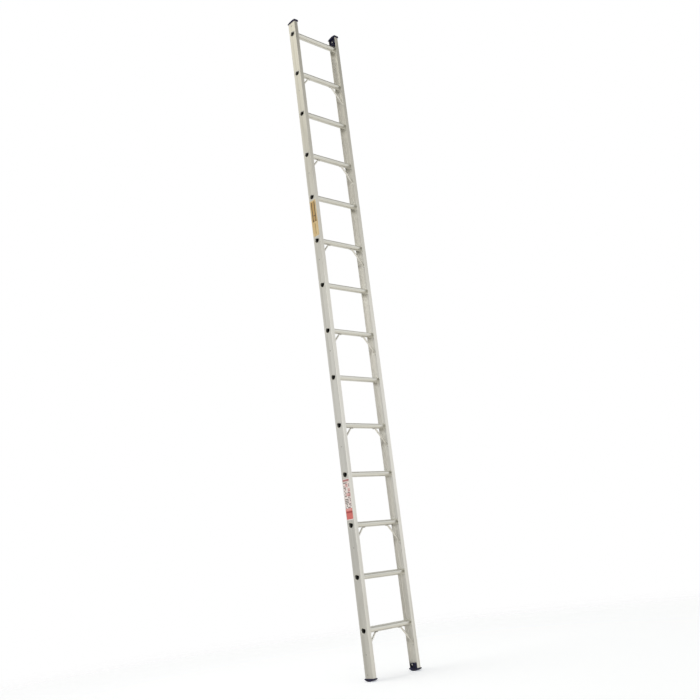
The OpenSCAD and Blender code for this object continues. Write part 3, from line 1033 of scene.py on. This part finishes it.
class Room:
    """Builds the studio's world from the height and the side of a direction."""

    def __init__(self, tree):
        self.nodes, self.links = tree.nodes, tree.links
        self.nodes.clear()
        self.way = self.nodes.new("ShaderNodeTexCoord").outputs["Generated"]
        axes = self.nodes.new("ShaderNodeSeparateXYZ")
        self.links.new(self.way, axes.inputs[0])
        self.height = axes.outputs["Z"]

    def by_height(self, stops):
        """Colour ramp over the height of the direction."""
        scaled = self.nodes.new("ShaderNodeMapRange")
        scaled.inputs["From Min"].default_value = -1.0
        self.links.new(self.height, scaled.inputs["Value"])
        node = self.nodes.new("ShaderNodeValToRGB")
        node.color_ramp.interpolation = "EASE"
        elements = node.color_ramp.elements
        while len(elements) < len(stops):
            elements.new(0.5)
        for element, (height, colour) in zip(elements, stops):
            element.position = (height + 1) / 2
            if not isinstance(colour, tuple):
                colour = (colour, colour, colour)
            element.color = (*colour, 1)
        self.links.new(scaled.outputs[0], node.inputs[0])
        return node.outputs[0]

    def towards(self, x, y, start, full):
        """Share that grows from start to full as the direction turns towards (x, y)."""
        closeness = self.nodes.new("ShaderNodeVectorMath")
        closeness.operation = "DOT_PRODUCT"
        self.links.new(self.way, closeness.inputs[0])
        closeness.inputs[1].default_value = (x, y, 0.0)
        share = self.nodes.new("ShaderNodeMapRange")
        share.interpolation_type = "SMOOTHSTEP"
        share.inputs["From Min"].default_value = start
        share.inputs["From Max"].default_value = full
        self.links.new(closeness.outputs["Value"], share.inputs["Value"])
        return share.outputs[0]

    def mix(self, share, a, b, blend="MIX"):
        """Colour between a and b, or their product."""
        node = self.nodes.new("ShaderNodeMix")
        node.data_type = "RGBA"
        node.blend_type = blend
        if isinstance(share, float):
            node.inputs["Factor"].default_value = share
        else:
            self.links.new(share, node.inputs["Factor"])
        self.links.new(a, node.inputs[6])
        self.links.new(b, node.inputs[7])
        return node.outputs[2]


def studio_world():
    """White backdrop for the camera, and a soft room for the metal to reflect."""
    world = bpy.data.worlds.new("studio")
    bpy.context.scene.world = world
    world.use_nodes = True
    room = Room(world.node_tree)
    grey = room.by_height(ROOM_BEHIND_LEFT)
    grey = room.mix(room.towards(*FRONT_RIGHT_WAY), grey, room.by_height(ROOM_FRONT_RIGHT))
    grey = room.mix(room.towards(*BY_CAMERA_WAY), grey, room.by_height(ROOM_BY_CAMERA))
    grey = room.mix(room.towards(*BEHIND_WAY), grey, room.by_height(ROOM_BEHIND))
    lit = room.nodes.new("ShaderNodeBackground")
    room.links.new(room.mix(1.0, grey, room.by_height(ROOM_TINT), "MULTIPLY"), lit.inputs["Color"])
    seen = room.nodes.new("ShaderNodeBackground")
    seen.inputs["Color"].default_value = (1, 1, 1, 1)
    path = room.nodes.new("ShaderNodeLightPath")
    blend = room.nodes.new("ShaderNodeMixShader")
    room.links.new(path.outputs["Is Camera Ray"], blend.inputs[0])
    room.links.new(lit.outputs[0], blend.inputs[1])
    room.links.new(seen.outputs[0], blend.inputs[2])
    output = room.nodes.new("ShaderNodeOutputWorld")
    room.links.new(blend.outputs[0], output.inputs["Surface"])


SOFTBOX_PLACE = (-0.5, 0.5, 8.5)
SOFTBOX_TARGET = (0.0, 0.0, 2.0)
SOFTBOX_SIZE = 4.5
SOFTBOX_WATTS = 300


def softbox():
    """One broad soft light, high behind the ladder on the left. It isn't seen, nor reflected."""
    light = bpy.data.lights.new("overhead", "AREA")
    light.shape = "RECTANGLE"
    light.size, light.size_y = SOFTBOX_SIZE, SOFTBOX_SIZE
    light.energy = SOFTBOX_WATTS
    obj = bpy.data.objects.new("overhead", light)
    obj.location = SOFTBOX_PLACE
    aim = Vector(SOFTBOX_TARGET) - Vector(SOFTBOX_PLACE)
    obj.rotation_euler = aim.to_track_quat("-Z", "Y").to_euler()
    obj.visible_camera = False
    obj.visible_glossy = False
    bpy.context.scene.collection.objects.link(obj)


CAMERA_PLACE = (-3.817, -4.009, 0.6485)
CAMERA_LENS = 45.44
CAMERA_SENSOR = 36.0
CAMERA_RIGHT = (0.741, -0.660, -0.120)
CAMERA_UP = (-0.072, -0.256, 0.964)


def camera():
    """Camera low on the left, in front of the ladder, tilted as the picture is."""
    data = bpy.data.cameras.new("camera")
    data.lens = CAMERA_LENS
    data.sensor_width = CAMERA_SENSOR
    data.clip_start, data.clip_end = 0.05, 100
    obj = bpy.data.objects.new("camera", data)
    up = Vector(CAMERA_UP).normalized()
    right = Vector(CAMERA_RIGHT)
    right = (right - up * right.dot(up)).normalized()
    back = right.cross(up)
    turn = Matrix((right, up, back)).transposed().to_4x4()
    obj.matrix_world = Matrix.Translation(CAMERA_PLACE) @ turn
    bpy.context.scene.collection.objects.link(obj)
    bpy.context.scene.camera = obj


# ---- Build ---------------------------------------------------------------------

camera()
pale_floor()
studio_world()
softbox()
bpy.context.scene.view_settings.view_transform = "Standard"

stile_metal = aluminium("stile_aluminium", bright=(0.91, 0.90, 0.87), dull=(0.77, 0.76, 0.73),
                        axis=Z_AXIS, roughness=0.36, wear_edges=True)
rung_metal = aluminium("rung_aluminium", bright=(0.91, 0.91, 0.89), dull=(0.79, 0.79, 0.77),
                       axis=X_AXIS, roughness=0.33)
# the bore's material paints the shade inside the rungs' tubes
bore_metal = painted_shade_bore()
brace_metal = aluminium("brace_aluminium", bright=(0.93, 0.92, 0.90), dull=(0.84, 0.83, 0.81),
                        axis=Y_AXIS, roughness=0.34)
fastener_metal = rivet_metal()
plastic = navy_plastic()

for side in SIDES:
    stile(side, stile_metal)
    foot(side, plastic)
    top_cap(side, plastic)
for name in RUNGS:
    rung(name, rung_metal, bore_metal)
for name in BRACES:
    brace(name, name.rsplit("_", 1)[1], brace_metal)
brace_to_rung_rivets(fastener_metal)
brace_to_stile_rivets(fastener_metal)
end_rivets("foot", fastener_metal)
end_rivets("cap", fastener_metal)
sticker("gold_label", "gold_label", gold_print())
sticker("red_and_white_label", "red_and_white_label", red_and_white_print())
